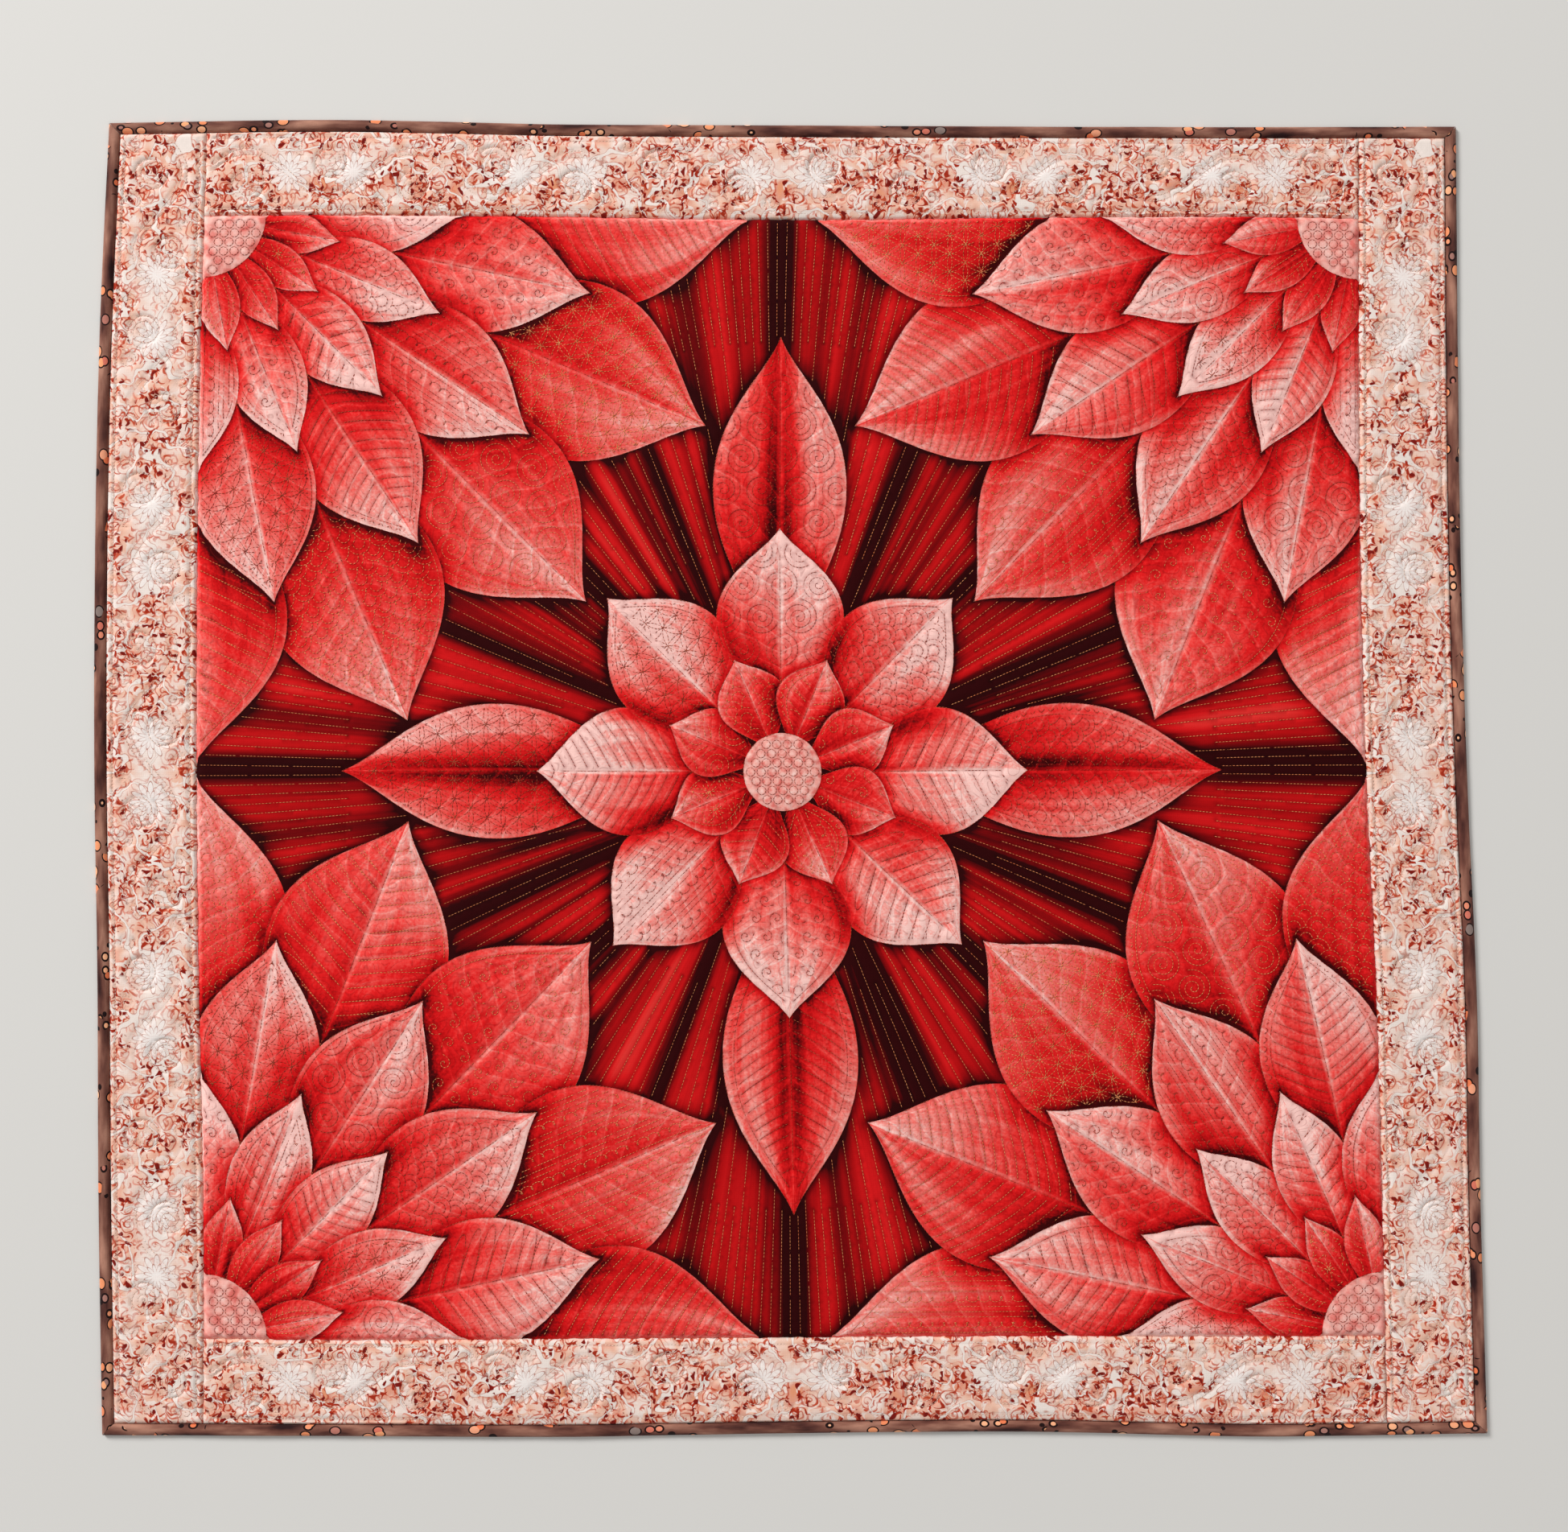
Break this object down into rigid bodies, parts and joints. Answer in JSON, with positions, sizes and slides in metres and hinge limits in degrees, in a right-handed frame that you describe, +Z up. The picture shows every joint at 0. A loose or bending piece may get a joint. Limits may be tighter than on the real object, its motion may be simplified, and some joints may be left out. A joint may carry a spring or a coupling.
{
  "type": "quilted throw",
  "caption": "Square-cornered quilted throw laid flat: a printed leaf panel in a patterned border, closed by a dark mitred binding.",
  "frame": {"origin": "centre of the underside's box, on the surface that the throw lies on", "axes": "+X to the right along the longer side, +Y towards the top edge, +Z up out of the face"},
  "size_m": [1.275, 1.2178, 0.0054],
  "materials": {
    "printed_panel_cotton": "matt",
    "border_cotton": "matt",
    "binding_batik": "matt"
  },
  "bodies": {
    "root": {"centre_panel": "printed_panel_cotton", "border_left": "border_cotton", "border_right": "border_cotton", "border_top": "border_cotton", "border_bottom": "border_cotton", "binding_top": "binding_batik", "binding_left": "binding_batik", "binding_bottom": "binding_batik", "binding_right": "binding_batik"}
  },
  "joints": []
}
